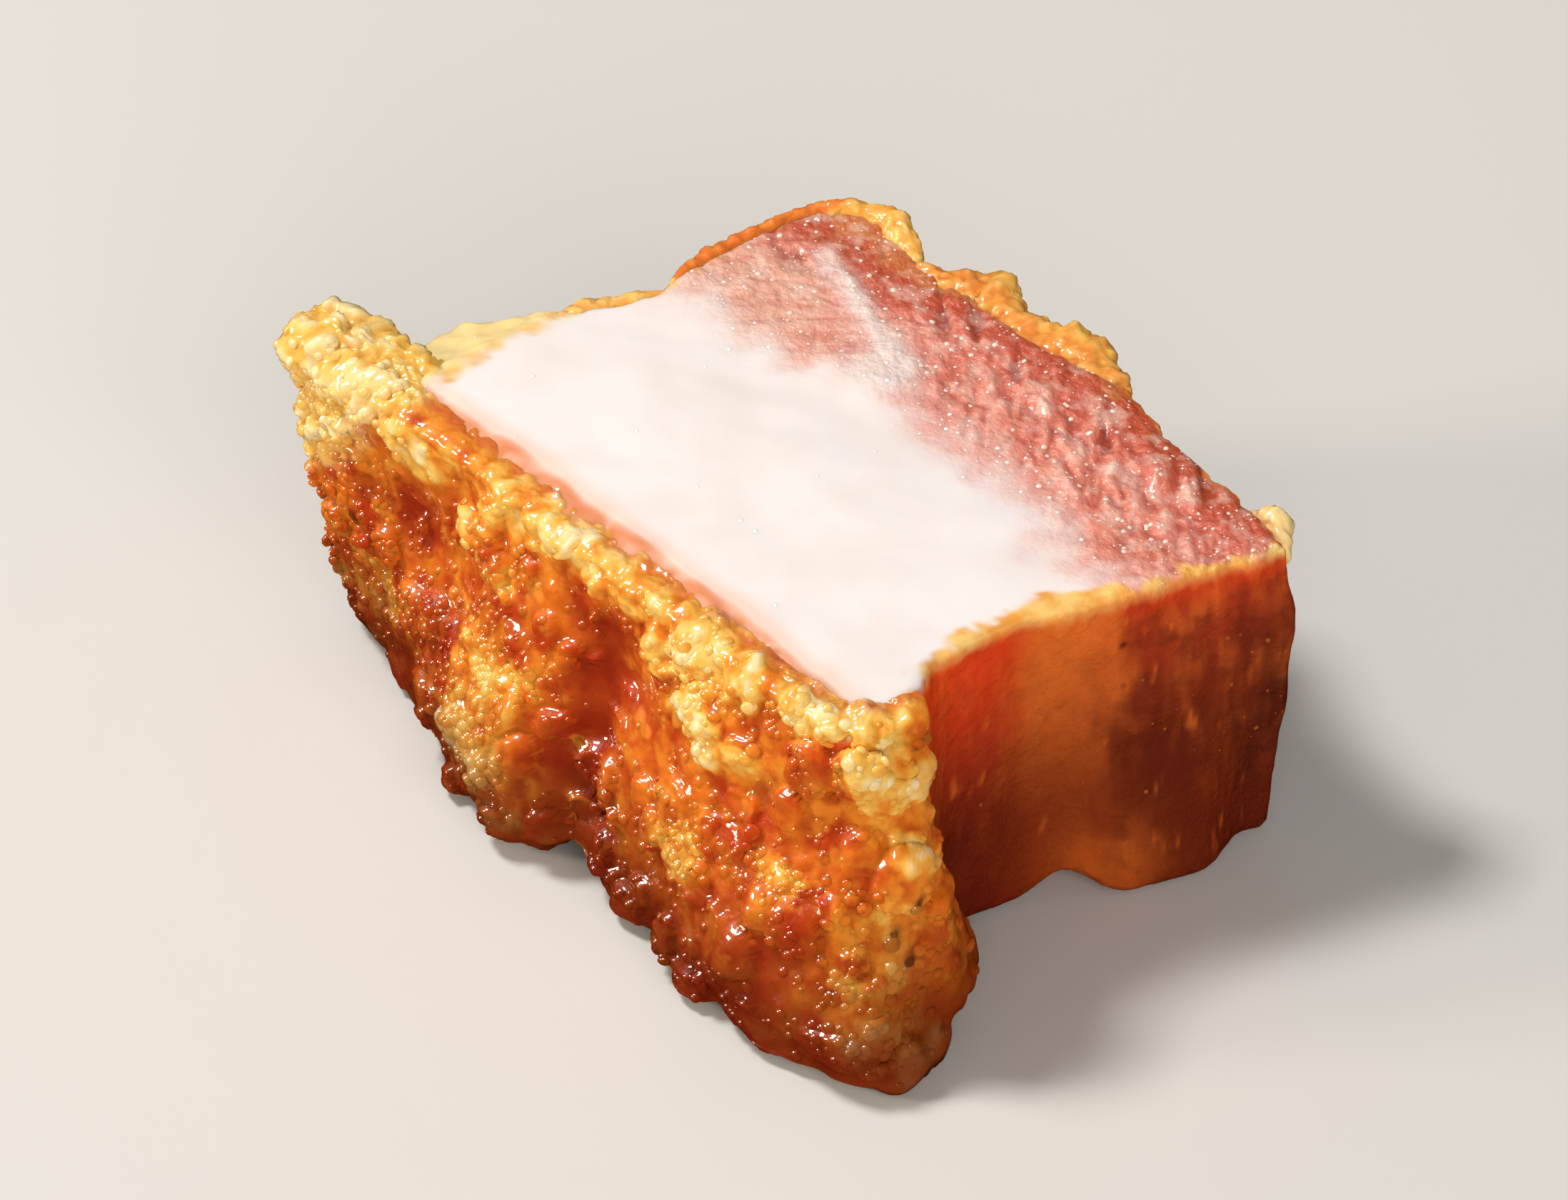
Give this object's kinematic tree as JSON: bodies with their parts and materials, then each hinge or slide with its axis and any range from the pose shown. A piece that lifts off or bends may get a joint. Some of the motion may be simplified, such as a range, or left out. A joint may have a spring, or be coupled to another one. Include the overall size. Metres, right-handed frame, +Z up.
{
  "type": "fried pork belly chunk",
  "caption": "Piece of deep-fried pork belly cut in two, lying with its cut face up: blistered golden crackling along one side, thick white fat and a pink lean layer",
  "frame": {"origin": "on the surface that the chunk lies on, below the middle of its box", "axes": "+X along the rind, to the right seen from the crackling; +Y from the rind to the lean; +Z up, out of the cut face"},
  "size_m": [0.0696, 0.0512, 0.029],
  "materials": {
    "crackling": "crisp blistered rind, golden to red-brown, oily gloss",
    "fat": "soft white fat, moist, slightly see-through",
    "lean": "cooked lean meat, pink on the cut, browned outside",
    "crust": "thin crisp golden crust"
  },
  "bodies": {
    "root": {"fat_with_crackling": "crackling", "lean_meat": "lean"}
  },
  "joints": []
}
